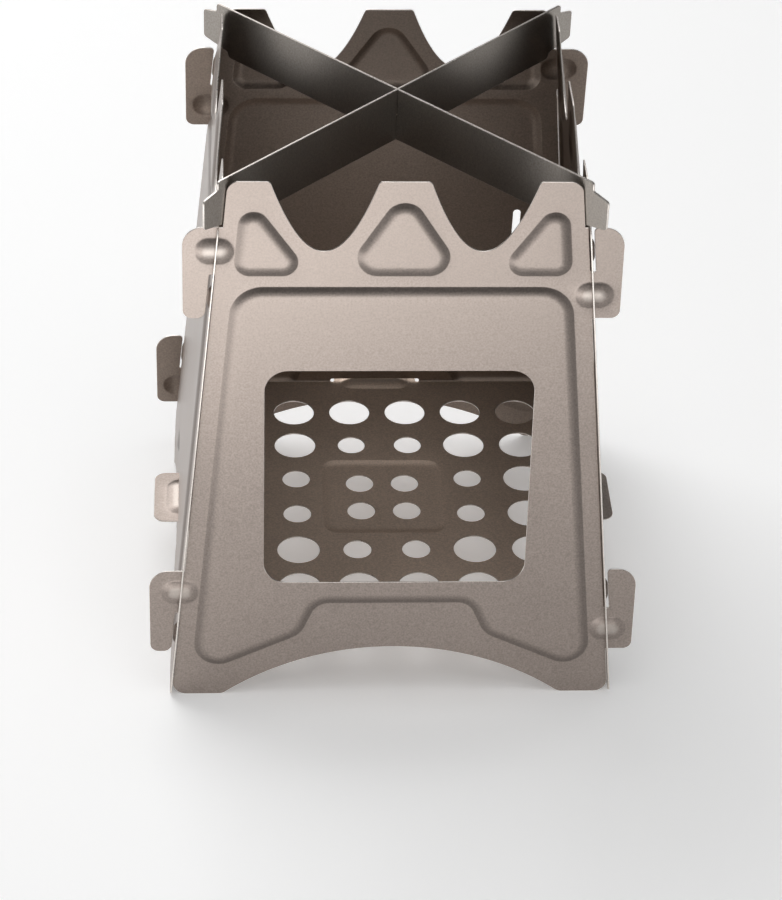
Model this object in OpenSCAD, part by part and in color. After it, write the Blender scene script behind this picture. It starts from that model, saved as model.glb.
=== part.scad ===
// Flat-pack sheet metal twig stove.
// Four leaning panels hook into each other, a drilled ash plate hangs on tabs
// between them, and two crossed bars on top carry the pot.
// Origin on the ground under the middle, +Z up, the fuel window faces -Y.

/* [Panels] */
// Width of the front and back panels at the ground, between the side panels
base_w = 144; // [120:1:180]
// Width of the front and back panels at their top edge
top_w = 108.6; // [96:0.2:120]
// Upright height of the panels
stove_h = 185.6; // [180:0.2:200]
// Thickness of the panel and ash plate sheet
sheet_t = 0.5; // [0.4:0.1:0.8]
// How far the side panels run past the front and back panels
side_strip = 2.9; // [2.6:0.1:4]
// Gap between sheets that meet or pass through each other
fit_gap = 0.2; // [0.15:0.05:0.3]

/* [Crown and feet] */
// Width of the middle tooth of the crown
tooth_w = 15.6; // [12:0.2:18]
// Width of a valley between two teeth, at the top edge
valley_w = 32.8; // [28:0.2:34]
// Depth of a valley
valley_d = 23.2; // [18:0.2:24]
// Rounding of the teeth beside the valleys
tooth_r = 1.4; // [0.6:0.2:2]
// Rounding of the outer corners of the crown
crown_r = 3.8; // [2:0.2:5]
// Width of a foot, from the panel's edge to the arch
foot_w = 16.5; // [14:0.5:26]
// Height of the arch
arch_h = 18.3; // [12:0.1:20]
// Rounding where the arch meets a foot
arch_r = 4; // [2:0.5:6]
// Rounding of the outer corners of the feet
foot_r = 4.3; // [2:0.1:5]

/* [Stamping] */
// Height of the stamped fields
stamp_h = 0.9; // [0.5:0.1:1.2]
// Width of the sloping wall round a stamped field
stamp_run = 1.9; // [1.4:0.1:2.4]
// Gap from a panel's edge to the big field
field_inset = 5.6; // [5:0.1:7]
// Distance from the panel's top edge down to the big field
field_drop = 35.4; // [34.6:0.2:40]
// Rounding of the top corners of the big field
field_r = 10.5; // [6:0.5:14]
// Height where the toes of the big field would come to a point
toe_v = 6.7; // [5:0.1:8]
// Rounding of the toes
toe_r = 7.9; // [6:0.1:9]
// How far the inner end of the slanted toe lies outside the step
knee_run = 5.3; // [4.5:0.1:7]
// How far the inner end of the slanted toe lies below the step
knee_drop = 12.1; // [11:0.1:13]
// Rounding of the knee
knee_r = 8.6; // [5:0.1:9]
// Half width of the raised lower edge of the big field
step_u = 24.7; // [23:0.1:26]
// Height of the raised lower edge of the big field
step_v = 35.5; // [34:0.5:38]
// Rounding of the step
step_r = 5.8; // [4:0.1:6]
// Distance from the panel's top edge down to the three stamped triangles
tri_drop = 31.7; // [30:0.1:32]
// Height of the triangles, to their sharp tips
tri_h = 30; // [26:0.5:30]
// Width of the middle triangle, to its sharp corners
mid_tri_w = 39; // [34:0.5:40]
// Rounding of the middle triangle
mid_tri_r = 6.4; // [4:0.1:6.6]
// Width of a corner triangle, to its sharp corners
side_tri_w = 24.5; // [22:0.5:25]
// Rounding of a corner triangle
side_tri_r = 4.8; // [3:0.1:5]
// Gap from a panel's edge to its corner triangle
side_tri_inset = 5.4; // [5:0.1:7]

/* [Fuel window] */
// Width of the window in the front panel
window_w = 84; // [70:1:90]
// Height of the window
window_h = 78; // [60:1:84]
// Height of the lower edge of the window, up the panel
window_v = 44.1; // [42:0.1:50]
// Rounding of the window's corners
window_r = 7.4; // [4:0.2:12]

/* [Ears] */
// Height of an ear
ear_h = 31; // [28:0.5:32]
// Height of the neck that joins an ear to its panel
neck_h = 16; // [14:0.5:18]
// Reach of an ear past its panel's edge, at half height
ear_reach = 9.9; // [8:0.1:12]
// Gap between an ear's hook and its panel
hook_gap = 1.7; // [1.6:0.1:2.2]
// Height of the lower ears' lower edge, up the panel
low_ear_v = 17; // [15:0.5:20]
// Rounding of an ear's upper outer corner
ear_r = 6.4; // [4:0.1:7]
// Rounding of an ear's other corners
hook_r = 2.8; // [1.5:0.1:3.5]
// Height of the round beads pressed into necks, sheets and tabs
bead_h = 0.7; // [0.4:0.1:0.8]
// Length of a neck's bead
neck_bead_l = 11.8; // [9:0.2:12]
// Width of a neck's bead
neck_bead_w = 8.6; // [6:0.2:9]
// Length of a side panel's bead, behind a hook
hook_bead_l = 8; // [6:0.2:9]
// Width of a side panel's bead
hook_bead_w = 4; // [3:0.2:4.4]

/* [Pot bars] */
// How far the pot bars' top edges stand above the panels
pot_rise = 1; // [0.4:0.2:2]
// Height of a pot bar
bar_h = 18; // [17:0.5:20]
// Thickness of a pot bar
bar_t = 0.8; // [0.6:0.1:1]
// Drop from the panels' top edges to the seats that the bars' tabs rest on
seat_drop = 15.2; // [14:0.2:16]
// How far a bar's end runs past the corner of the crown, above its tab
bar_past = 3; // [2:0.2:5]
// Gap from the corner of the crown to the shoulder under a bar's tab
shoulder_gap = 2.3; // [1.8:0.1:4]
// Length of a tab past the bar's end
tab_l = 6; // [4:0.5:8]
// Step from a bar's top edge down to its tab
tab_step = 3; // [2.5:0.1:4]
// Slope of a tab's top edge
tab_drop = 1.4; // [0.6:0.1:2]
// Slope of a tab's lower edge
tab_rise = 2; // [1:0.1:2.4]
// Rounding of a bar's corners
bar_r = 1.2; // [0.6:0.1:1.6]

/* [Ash plate] */
// Height of the ash plate's lower face above the ground
ash_z = 26.2; // [25:0.2:28]
// Rounding of the ash plate's corners
ash_r = 6; // [4:1:12]
// Distance between the rows of holes
hole_pitch = 19.8; // [19:0.1:20.4]
// Diameter of the big holes
big_hole_d = 14.2; // [12:0.2:15]
// Diameter of the small holes
small_hole_d = 9.4; // [8:0.2:11]
// Distance between the four middle holes
mid_pitch = 15.6; // [14:0.2:17]
// Side of the sunk square in the middle
sink_w = 41.4; // [39:0.2:42]
// Depth of the sunk square
sink_h = 0.8; // [0.4:0.1:1.2]
// Rounding of the sunk square
sink_r = 5; // [3.4:0.2:8]
// Length of a side tab of the ash plate
ash_tab_l = 27.6; // [24:0.2:29]
// Reach of a side tab past its side panel
ash_tab_reach = 8.6; // [6:0.2:9]
// Length of the rear tab of the ash plate
rear_tab_l = 29.6; // [18:0.2:31]
// Reach of the rear tab past the back panel
rear_tab_reach = 4.4; // [3:0.2:4.6]
// Gap between the rear tab and either end of its slot
rear_play = 1.2; // [0.4:0.1:3]
// Rounding of the tabs
ash_tab_r = 4; // [2:0.5:5]
// Length of the beads on the side tabs
tab_bead_l = 19; // [14:0.5:21]
// Distance from either end of the rear tab to its bead
rear_bead_inset = 2.6; // [1.6:0.1:3.6]
// Width of the beads on the tabs
tab_bead_w = 9; // [4:0.2:10]
// Distance from the rear tab's outer edge to its bead
rear_rim = 0.8; // [0.4:0.1:1.2]

/* [Air slots] */
// Distance from the middle of the back panel to its upright air slots
air_u = 47.2; // [44:0.2:48]
// Height of the upper ends of the air slots, up the panel
air_top = 103.8; // [90:0.2:120]
// Length of an air slot
air_l = 14; // [8:0.5:20]
// Width of an air slot
air_w = 2.5; // [1.5:0.1:3]

/* [Hidden] */
$fn = 48;
titanium = "#a3968e";
bar_grey = "#6f6862";
corner_steps = 6;
curve_steps = 9;
past = 1;
foot_lap = 0.2;
// How far a stamped block reaches back into its sheet
block_root = 0.25;

half_w = base_w/2;
lean = atan((base_w - top_w)/2/stove_h);
panel_l = stove_h/cos(lean);
// The side panels stand just outside the front and back panels' edges
side_half_w = half_w + fit_gap + sheet_t/2;
corner_clear = bar_t/sqrt(2) + sheet_t/2 + fit_gap;
seat_z = stove_h - seat_drop;
seat_v = seat_z/cos(lean);
high_ear_v = seat_v - ear_h;
slot_in = sheet_t/2 + fit_gap;
slot_out = sheet_t/2 + bead_h + fit_gap;
insert_l = ear_h + 2*fit_gap;
valley_u = (tooth_w + valley_w)/2;
lap_gap = fit_gap/2;
ash_top = ash_z + sheet_t;
arch_w = base_w - 2*foot_w;
field_top = panel_l - field_drop;
tri_v = panel_l - tri_drop;
pot_z = stove_h + pot_rise;
// Distance from the middle to the corner of the crown, along a bar
crown_reach = top_w/sqrt(2);
bar_reach = crown_reach + bar_past;
shoulder_reach = crown_reach - shoulder_gap;

// Points, lines and outlines

// Half width of a front panel at a height up the panel
function edge_u(v) = half_w - v*sin(lean);

function unit(p) = p/norm(p);
function cross2(a, b) = a.x*b.y - a.y*b.x;
function angle_of(p) = atan2(p.y, p.x);
// Signed turn between two directions, from -180 to 180
function turn(a, b) = atan2(cross2(a, b), a*b);

// Points of an arc that rounds corner b between a and c
function corner(a, b, c, r) =
    let (to_a = unit(a - b), to_c = unit(c - b))
    let (half = abs(turn(to_a, to_c))/2)
    let (middle = b + unit(to_a + to_c)*r/sin(half))
    let (from = b + to_a*r/tan(half) - middle)
    let (sweep = turn(from, b + to_c*r/tan(half) - middle))
    [for (i = [0:corner_steps])
        let (t = angle_of(from) + sweep*i/corner_steps) middle + r*[cos(t), sin(t)]];

// Place of point i, counted round the outline
function place(pts, i) = let (p = pts[(i + len(pts)) % len(pts)]) [p.x, p.y];

// Outline through points [x, y, rounding]
function rounded(pts) = [for (i = [0:len(pts) - 1])
    let (a = place(pts, i - 1), b = place(pts, i), c = place(pts, i + 1))
    each pts[i].z > 0 ? corner(a, b, c, pts[i].z) : [b]];

// Points [x, y, rounding] of a counterclockwise outline moved inwards by d
function inset(pts, d) = [for (i = [0:len(pts) - 1])
    let (a = place(pts, i - 1), b = place(pts, i), c = place(pts, i + 1))
    let (before = unit(b - a), after = unit(c - b))
    let (left_before = [-before.y, before.x], left_after = [-after.y, after.x])
    let (moved = b + (left_before + left_after)*d/(1 + left_before*left_after))
    let (convex = cross2(before, after) > 0)
    [moved.x, moved.y, pts[i].z + (convex ? -d : d)]];

function mirrored(pts) = [for (i = [len(pts) - 1:-1:0]) [-pts[i].x, pts[i].y, pts[i].z]];

function box_points(w, h, r) = [[-w/2, -h/2, r], [w/2, -h/2, r], [w/2, h/2, r], [-w/2, h/2, r]];

// Right half of the arch between the feet, from the middle outwards
arch_rad = (arch_w*arch_w/4 + arch_h*arch_h)/(2*arch_h);
arch_half = [for (i = [0:curve_steps - 1])
    let (u = arch_w/2*i/curve_steps) [u, arch_h - arch_rad + sqrt(arch_rad*arch_rad - u*u), 0]];

// Points of the right-hand valley between its teeth, a parabola from outside inwards
valley_points = [for (i = [1:2*curve_steps - 1])
    let (s = 1 - i/curve_steps) [valley_u + s*valley_w/2, panel_l - valley_d*(1 - s*s), 0]];

// Right half of a panel's outline, with its strip below the seats and its step above them
function half_outline(strip, step) = concat(
    arch_half,
    [[arch_w/2, -foot_lap, arch_r], [half_w + strip, -foot_lap, foot_r],
     [edge_u(seat_v) + strip, seat_v, strip > 0 ? tooth_r/2 : 0], [edge_u(seat_v) - step, seat_v, 0],
     [edge_u(panel_l) - step, panel_l, crown_r], [valley_u + valley_w/2, panel_l, tooth_r]],
    valley_points,
    [[tooth_w/2, panel_l, tooth_r]]);

// The first point of the arch lies on the middle line, so its mirror image is left out
function whole_outline(half) = concat(half, [for (i = [0:len(half) - 2]) mirrored(half)[i]]);

// Outlines of the stamped fields, counterclockwise
field_half = [[step_u, step_v, step_r], [step_u + knee_run, step_v - knee_drop, knee_r],
    [edge_u(toe_v) - field_inset, toe_v, toe_r], [edge_u(field_top) - field_inset, field_top, field_r]];
field_points = concat(field_half, mirrored(field_half));
mid_tri_points = [[-mid_tri_w/2, tri_v, mid_tri_r], [mid_tri_w/2, tri_v, mid_tri_r],
    [0, tri_v + tri_h, mid_tri_r]];
side_tri_u = edge_u(tri_v) - side_tri_inset;
side_tri_points = [[side_tri_u - side_tri_w, tri_v, side_tri_r], [side_tri_u, tri_v, side_tri_r],
    [edge_u(tri_v + tri_h) - side_tri_inset, tri_v + tri_h, side_tri_r]];

// A field is [eye, outline]: the eye is a point inside that sees the whole outline
function triangle_field(pts) = [(place(pts, 0) + place(pts, 1) + place(pts, 2))/3, pts];
all_fields = [[[0, field_top - 2*field_r], field_points], triangle_field(mid_tri_points),
    triangle_field(side_tri_points), triangle_field(mirrored(side_tri_points))];

// Shared shapes

function ring_at(pts, z) = [for (p = rounded(pts)) [p.x, p.y, z]];

// Block with sloping walls: the field's outline at z, and the inset outline at z + h.
// Its two flat caps are fans round the eye.
module draft_block(field, z, h, run) {
    eye = field[0];
    pts = field[1];
    rings = [ring_at(pts, z - block_root), ring_at(pts, z), ring_at(inset(pts, run), z + h)];
    n = len(rings[0]);
    low_eye = 3*n;
    high_eye = low_eye + 1;
    walls = [for (k = [0, 1], i = [0:n - 1]) let (j = (i + 1) % n)
        [k*n + i, (k + 1)*n + i, (k + 1)*n + j, k*n + j]];
    caps = [for (i = [0:n - 1]) let (j = (i + 1) % n)
        each [[low_eye, i, j], [high_eye, 2*n + j, 2*n + i]]];
    eyes = [[eye.x, eye.y, z - block_root], [eye.x, eye.y, z + h]];
    polyhedron(concat([for (ring = rings) each ring], eyes), concat(walls, caps));
}

// Sheet with stamped fields, whose backs are hollow
module stamped(fields, h, run) {
    difference() {
        union() {
            children();
            for (field = fields) draft_block(field, sheet_t/2, h, run);
        }
        for (field = fields) draft_block(field, -sheet_t/2, h, run);
    }
}

// Low round-backed bead of length l along X, whose crown stands h above the plane
module bead_solid(l, w, h) {
    r = (w*w/4 + h*h)/(2*h);
    run = l - w;
    intersection() {
        translate([0, 0, h - r]) union() {
            rotate([0, 90, 0]) cylinder(r = r, h = run, center = true);
            for (s = [-1, 1]) translate([s*run/2, 0, 0]) sphere(r = r);
        }
        translate([-l, -l, -sheet_t/4]) cube([2*l, 2*l, h + past]);
    }
}

// Sheet with beads at [x, y, turn], whose backs are hollow
module beaded(places, l, w) {
    difference() {
        union() {
            children();
            for (p = places) translate([p.x, p.y, sheet_t/2]) rotate([0, 0, p.z]) bead_solid(l, w, bead_h);
        }
        for (p = places) translate([p.x, p.y, -sheet_t/2]) rotate([0, 0, p.z]) bead_solid(l, w, bead_h);
    }
}

module sheet() {
    linear_extrude(sheet_t, center = true) children();
}

module cut() {
    linear_extrude(2*(sheet_t + stamp_h) + past, center = true) children();
}

// Stands a flat sheet up on the side of the stove that faces the given turn, leaning inwards
module stand(face, reach) {
    difference() {
        rotate([0, 0, face]) translate([0, -reach, 0]) rotate([90 - lean, 0, 0]) children();
        translate([-base_w, -base_w, -2*past]) cube([2*base_w, 2*base_w, 2*past]);
    }
}

// Front and back panels

function ear_out(v) = edge_u(v + ear_h/2) + ear_reach;
function hook_u(v) = edge_u(v) + hook_gap;

// Right-hand ear with its lower edge at v: the neck is below and the hook opens upwards
module ear_neck_below(v) {
    neck_top = v + neck_h;
    polygon(rounded([[edge_u(v) - past, v, 0], [ear_out(v), v, hook_r], [ear_out(v), v + ear_h, ear_r],
        [hook_u(v + ear_h), v + ear_h, hook_r/2], [hook_u(neck_top), neck_top, hook_gap/4],
        [edge_u(neck_top), neck_top, hook_gap/4], [edge_u(neck_top) - past, neck_top + past, 0]]));
}

// Right-hand ear with its neck above, so that the hook opens downwards
module ear_neck_above(v) {
    neck_low = v + ear_h - neck_h;
    polygon(rounded([[hook_u(v), v, hook_r], [ear_out(v), v, hook_r], [ear_out(v), v + ear_h, ear_r],
        [edge_u(v + ear_h) - past, v + ear_h, 0], [edge_u(neck_low) - past, neck_low - past, 0],
        [edge_u(neck_low), neck_low, hook_gap/4], [hook_u(neck_low), neck_low, hook_gap/4]]));
}

ear_levels = [low_ear_v, high_ear_v];
// Heights of the middles of the necks, below and above
function low_neck(v) = v + neck_h/2;
function high_neck(v) = v + ear_h - neck_h/2;
function neck_u(v) = edge_u(v) + hook_gap/2;

module end_panel() {
    places = [for (v = ear_levels)
        each [[neck_u(low_neck(v)), low_neck(v), 0], [-neck_u(high_neck(v)), high_neck(v), 0]]];
    beaded(places, neck_bead_l, neck_bead_w) stamped(all_fields, stamp_h, stamp_run) sheet() {
        polygon(rounded(whole_outline(half_outline(0, corner_clear))));
        for (v = ear_levels) {
            ear_neck_below(v);
            mirror([1, 0, 0]) ear_neck_above(v);
        }
    }
}

module rounded_slot(w, h, r) {
    polygon(rounded(box_points(w, h, r)));
}

module front_panel() {
    color(titanium) stand(0, half_w) difference() {
        end_panel();
        cut() translate([0, window_v + window_h/2]) rounded_slot(window_w, window_h, window_r);
    }
}

// Lower edge and height of the slots that the ash plate's tabs pass, up a panel
ash_slot_v = (ash_z - fit_gap)/cos(lean);
ash_slot_h = (sheet_t + bead_h + 2*fit_gap)/cos(lean) + sheet_t*tan(lean);

module ash_slot(l) {
    translate([0, ash_slot_v + ash_slot_h/2]) rounded_slot(l, ash_slot_h, ash_slot_h/3);
}

module back_panel() {
    color(titanium) stand(180, half_w) difference() {
        end_panel();
        cut() {
            ash_slot(rear_tab_l + 2*rear_play);
            for (s = [-1, 1]) translate([s*air_u, air_top - air_l/2]) {
                square([air_w, air_l - air_w], center = true);
                for (e = [-1, 1]) translate([0, e*(air_l - air_w)/2]) circle(d = air_w);
            }
        }
    }
}

// Side panels

// Slot along the right-hand ear line of a side panel, between two heights
module ear_slot(low, high) {
    polygon([[edge_u(low) - slot_in, low], [edge_u(low) + slot_out, low],
        [edge_u(high) + slot_out, high], [edge_u(high) - slot_in, high]]);
}

// Slots for ears with the neck above: the ears come in from above and slide down
module slots_neck_above() {
    low_stop = low_ear_v + ear_h - neck_h - fit_gap;
    ear_slot(low_stop, low_stop + insert_l);
    ear_slot(high_ear_v + ear_h - neck_h - fit_gap, seat_v + past);
}

// Slots for ears with the neck below: the ears come in from below and slide up
module slots_neck_below() {
    high_stop = high_ear_v + neck_h + fit_gap;
    ear_slot(high_stop - insert_l, high_stop);
    ear_slot(-past, low_ear_v + neck_h + fit_gap);
}

module side_panel() {
    hook_l = ear_h - neck_h;
    places = [for (v = ear_levels) each [[edge_u(v + hook_l/2), v + hook_l/2, 90],
        [-edge_u(v + ear_h - hook_l/2), v + ear_h - hook_l/2, 90]]];
    difference() {
        beaded(places, hook_bead_l, hook_bead_w) stamped(all_fields, stamp_h, stamp_run)
            sheet() polygon(rounded(whole_outline(half_outline(side_strip, corner_clear))));
        cut() {
            slots_neck_above();
            mirror([1, 0, 0]) slots_neck_below();
            ash_slot(ash_tab_l + 4*fit_gap);
        }
    }
}

module left_panel() {
    color(titanium) stand(270, side_half_w) side_panel();
}

module right_panel() {
    color(titanium) stand(90, side_half_w) side_panel();
}

// Ash plate

// Half depth and half width of the plate, clear of the leaning panels
ash_half_y = half_w - ash_top*tan(lean) - sheet_t/2/cos(lean) - 2*fit_gap;
ash_half_x = side_half_w - ash_top*tan(lean) - sheet_t/2/cos(lean) - 2*fit_gap;
// Where the middles of the side and back sheets pass the plate
side_cross = side_half_w - ash_z*tan(lean);
back_cross = half_w - ash_z*tan(lean);
rows = 6;

// Ring number of a hole, counted from the middle: 0, 1 or 2
function ring_of(i, j) = max(abs(i - (rows - 1)/2), abs(j - (rows - 1)/2)) - 0.5;
function is_corner(i, j) = abs(i - (rows - 1)/2) == abs(j - (rows - 1)/2);

module ash_holes() {
    for (i = [0:rows - 1], j = [0:rows - 1]) {
        ring = ring_of(i, j);
        pitch = ring == 0 ? mid_pitch : hole_pitch;
        big = ring == 2 || (ring == 1 && is_corner(i, j));
        translate([i - (rows - 1)/2, j - (rows - 1)/2]*pitch) circle(d = big ? big_hole_d : small_hole_d);
    }
}

module ash_outline() {
    side_end = side_cross + ash_tab_reach;
    rear_end = back_cross + rear_tab_reach;
    polygon(rounded(box_points(2*ash_half_x, 2*ash_half_y, ash_r)));
    polygon(rounded(box_points(2*side_end, ash_tab_l, ash_tab_r)));
    translate([0, rear_end/2]) polygon(rounded(box_points(rear_tab_l, rear_end, ash_tab_r)));
}

module ash_plate() {
    side_beads = [for (s = [-1, 1]) [s*side_cross, 0, 90]];
    rear_bead = [0, back_cross + rear_tab_reach - rear_rim - tab_bead_w/2, 0];
    sunk_square = [[0, 0], box_points(sink_w, sink_w, sink_r)];
    color(titanium) translate([0, 0, ash_z + sheet_t/2]) difference() {
        beaded([rear_bead], rear_tab_l - 2*rear_bead_inset, tab_bead_w)
            beaded(side_beads, tab_bead_l, tab_bead_w)
            mirror([0, 0, 1]) stamped([sunk_square], sink_h, stamp_run) sheet() ash_outline();
        cut() ash_holes();
    }
}

// Pot bars

bar_low = pot_z - bar_h;
bar_mid = pot_z - bar_h/2;
lap_w = bar_t + 2*lap_gap;

bar_half_points = [[shoulder_reach, bar_low, bar_r], [shoulder_reach, seat_z + lap_gap, bar_r/2],
    [bar_reach + tab_l, seat_z + tab_rise, bar_r], [bar_reach + tab_l, pot_z - tab_step - tab_drop, bar_r],
    [bar_reach, pot_z - tab_step, bar_r/2], [bar_reach, pot_z, bar_r]];

// Bar on edge along a diagonal, with a lap slot between two heights
module pot_bar(turn, slot_low, slot_high) {
    color(bar_grey) rotate([0, 0, turn]) rotate([90, 0, 0])
        linear_extrude(bar_t, center = true) difference() {
            polygon(rounded(concat(bar_half_points, mirrored(bar_half_points))));
            translate([-lap_w/2, slot_low]) square([lap_w, slot_high - slot_low]);
        }
}

module lower_bar() {
    pot_bar(-45, bar_mid - lap_gap, pot_z + past);
}

module upper_bar() {
    pot_bar(45, bar_low - past, bar_mid + lap_gap);
}

front_panel();
back_panel();
left_panel();
right_panel();
ash_plate();
lower_bar();
upper_bar();
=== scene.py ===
"""Looks of a flat-pack sheet metal twig stove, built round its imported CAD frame."""

import math

import bpy
import numpy as np
from mathutils import Matrix, Vector
from mathutils.geometry import delaunay_2d_cdt


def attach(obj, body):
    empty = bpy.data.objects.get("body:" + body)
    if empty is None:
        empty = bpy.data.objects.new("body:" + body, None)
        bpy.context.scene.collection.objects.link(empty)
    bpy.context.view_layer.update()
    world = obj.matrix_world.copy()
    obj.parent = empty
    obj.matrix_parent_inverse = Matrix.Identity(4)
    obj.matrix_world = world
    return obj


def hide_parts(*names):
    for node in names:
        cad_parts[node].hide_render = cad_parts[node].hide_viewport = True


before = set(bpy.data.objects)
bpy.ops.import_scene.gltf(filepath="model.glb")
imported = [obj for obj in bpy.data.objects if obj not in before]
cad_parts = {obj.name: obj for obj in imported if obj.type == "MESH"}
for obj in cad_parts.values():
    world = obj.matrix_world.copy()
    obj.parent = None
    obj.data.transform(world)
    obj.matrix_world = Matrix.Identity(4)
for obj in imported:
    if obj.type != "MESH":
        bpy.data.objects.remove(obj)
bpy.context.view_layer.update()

# Sizes of the stove in millimetres, as in the CAD part: U runs across a panel, V up it, Z up the stove
MM = 0.001
BASE_W = 144.0
TOP_W = 108.6
STOVE_H = 185.6
SHEET_T = 0.5
SIDE_STRIP = 2.9
FIT_GAP = 0.2

# Crown, feet and arch
TOOTH_W = 15.6
VALLEY_W = 32.8
VALLEY_D = 23.2
TOOTH_R = 1.4
CROWN_R = 3.8
FOOT_W = 16.5
FOOT_R = 4.3
ARCH_H = 18.3
ARCH_R = 4.0

# Stamped fields
STAMP_H = 0.9
FIELD_INSET = 5.6
FIELD_DROP = 35.4
FIELD_R = 10.5
TOE_V = 6.7
TOE_R = 7.9
KNEE_RUN = 5.3
KNEE_DROP = 12.1
KNEE_R = 8.6
STEP_U = 24.7
STEP_V = 35.5
STEP_R = 5.8
TRI_DROP = 31.7
TRI_H = 30.0
MID_TRI_W = 39.0
MID_TRI_R = 6.4
SIDE_TRI_W = 24.5
SIDE_TRI_R = 4.8
SIDE_TRI_INSET = 5.4

# Fuel window
WINDOW_W = 84.0
WINDOW_H = 78.0
WINDOW_V = 44.1
WINDOW_R = 7.4

# Hooked ears
EAR_H = 31.0
NECK_H = 16.0
EAR_REACH = 9.9
HOOK_GAP = 1.7
LOW_EAR_V = 17.0
EAR_R = 6.4
HOOK_R = 2.8

# Beads, with their length and width
BEAD_H = 0.7
NECK_BEAD = (11.8, 8.6)
HOOK_BEAD = (8.0, 4.0)
TAB_BEAD = (19.0, 9.0)

# Pot bars
POT_RISE = 1.0
SEAT_DROP = 15.2
BAR_H = 18.0
BAR_T = 0.8
BAR_PAST = 3.0
SHOULDER_GAP = 2.3
TAB_L = 6.0
TAB_STEP = 3.0
TAB_DROP = 1.4
TAB_RISE = 2.0
BAR_R = 1.2

# Ash plate
ASH_Z = 26.2
ASH_R = 6.0
HOLE_ROWS = 6
HOLE_PITCH = 19.8
BIG_HOLE_D = 14.2
SMALL_HOLE_D = 9.4
MID_PITCH = 15.6
SINK_W = 41.4
SINK_R = 5.0
ASH_TAB_L = 27.6
ASH_TAB_REACH = 8.6
REAR_TAB_L = 29.6
REAR_TAB_REACH = 4.4
REAR_PLAY = 1.2
REAR_BEAD_INSET = 2.6
REAR_RIM = 0.8
ASH_TAB_R = 4.0

# Air slots of the back panel
AIR_U = 47.2
AIR_TOP = 103.8
AIR_L = 14.0
AIR_W = 2.5

# What follows from them
HALF_W = BASE_W/2
LEAN = math.atan((BASE_W - TOP_W)/2/STOVE_H)
PANEL_L = STOVE_H/math.cos(LEAN)
SIDE_HALF_W = HALF_W + FIT_GAP + SHEET_T/2
CORNER_CLEAR = BAR_T/math.sqrt(2) + SHEET_T/2 + FIT_GAP
SEAT_Z = STOVE_H - SEAT_DROP
SEAT_V = SEAT_Z/math.cos(LEAN)
HIGH_EAR_V = SEAT_V - EAR_H
EAR_LEVELS = (LOW_EAR_V, HIGH_EAR_V)
SLOT_IN = SHEET_T/2 + FIT_GAP
SLOT_OUT = SHEET_T/2 + BEAD_H + FIT_GAP
INSERT_L = EAR_H + 2*FIT_GAP
HOOK_ROOT_R = HOOK_GAP/4
VALLEY_U = (TOOTH_W + VALLEY_W)/2
ARCH_W = BASE_W - 2*FOOT_W
FIELD_TOP = PANEL_L - FIELD_DROP
TRI_V = PANEL_L - TRI_DROP
POT_Z = STOVE_H + POT_RISE
CROWN_REACH = TOP_W/math.sqrt(2)
LAP_GAP = FIT_GAP/2
ASH_TOP = ASH_Z + SHEET_T
SIDE_PLAY = 2*FIT_GAP
SIDE_CROSS = SIDE_HALF_W - ASH_Z*math.tan(LEAN)
BACK_CROSS = HALF_W - ASH_Z*math.tan(LEAN)

# Bevel of the cut edges and rounding of the slots' corners
EDGE_BEVEL = 0.13
SLOT_CORNER_R = 0.35

# Fineness of the meshes: lengths in millimetres, and steps in half a curve
ARC_STEP = 0.45
CURVE_STEPS = 26
EDGE_STEP = 4.0
GRID_STEP = 4.0
GRID_CLEAR = 1.3
SLOPE_STEP = 0.05
MERGE_GAP = 1e-6
# Share of half a width that rounds an end and still leaves its two arcs apart
END_ROUND = 0.9999
# Least divisor for a rim at a sharp corner, so that its point stays near
LEAST_SPREAD = 0.5
# Angle from which an edge is shaded sharp
SHARP_ANGLE = math.radians(32)

# A stamped wall has a tight foot, a longer run than the part's and a broad shoulder
WALL_FOOT = 0.18
WALL_RUN = 2.4
WALL_SHOULDER = 1.2
# Depths inside the outline at which the mesh follows a wall
WALL_LEVELS = (-0.18, -0.09, 0.0, 0.09, 0.18, 0.7, 1.2, 1.5, 1.8, 2.1, 2.4, 2.7, 3.0, 3.3, 3.6)
# Depth at which the sunk square is drawn, shallower than the part's, as it looks
SINK_SHOWN = 0.45
# A bead is a dome, a little higher than the part's, with a soft foot that starts outside its outline
BEAD_OUT = 0.1
BEAD_FOOT = 0.35
BEAD_CROWN = 0.2
# Shares of the way from a bead's foot to its middle at which the mesh follows it
BEAD_LEVELS = (-0.08, 0.0, 0.05, 0.1, 0.16, 0.22, 0.3, 0.38, 0.46, 0.54, 0.62, 0.7, 0.78, 0.88)
# Share of a bead's height from which its crest is lightened, partly by rubbing and partly as a painted
# highlight
CREST_RUB_AND_HIGHLIGHT_FROM = 0.7
# Shares of the painted shade on stamped walls that beads and inner faces take
BEAD_PAINTED_SHARE = 0.45
INNER_PAINTED_SHARE = 0.45


# Flat outlines

def edge_u(v):
    """Half width of a front or back panel at height v up it, and place of a side panel's ear line."""
    return HALF_W - v*math.sin(LEAN)


def unit(p):
    """The vector at length 1."""
    return p/np.linalg.norm(p)


def turn(a, b):
    """Angle from a to b, positive to the left."""
    return math.atan2(a[0]*b[1] - a[1]*b[0], a @ b)


def corner(a, b, c, r):
    """Points of an arc that rounds corner b between a and c."""
    to_a = unit(a - b)
    to_c = unit(c - b)
    half = abs(turn(to_a, to_c))/2
    middle = b + unit(to_a + to_c)*r/math.sin(half)
    start = b + to_a*r/math.tan(half) - middle
    sweep = turn(start, b + to_c*r/math.tan(half) - middle)
    steps = max(2, math.ceil(abs(sweep)*r/ARC_STEP))
    first = math.atan2(start[1], start[0])
    angles = [first + sweep*i/steps for i in range(steps + 1)]
    return [middle + r*np.array((math.cos(t), math.sin(t))) for t in angles]


def place(points, i):
    """Where point i of an outline lies, counted round its end."""
    return np.array(points[i % len(points)][:2], float)


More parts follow.
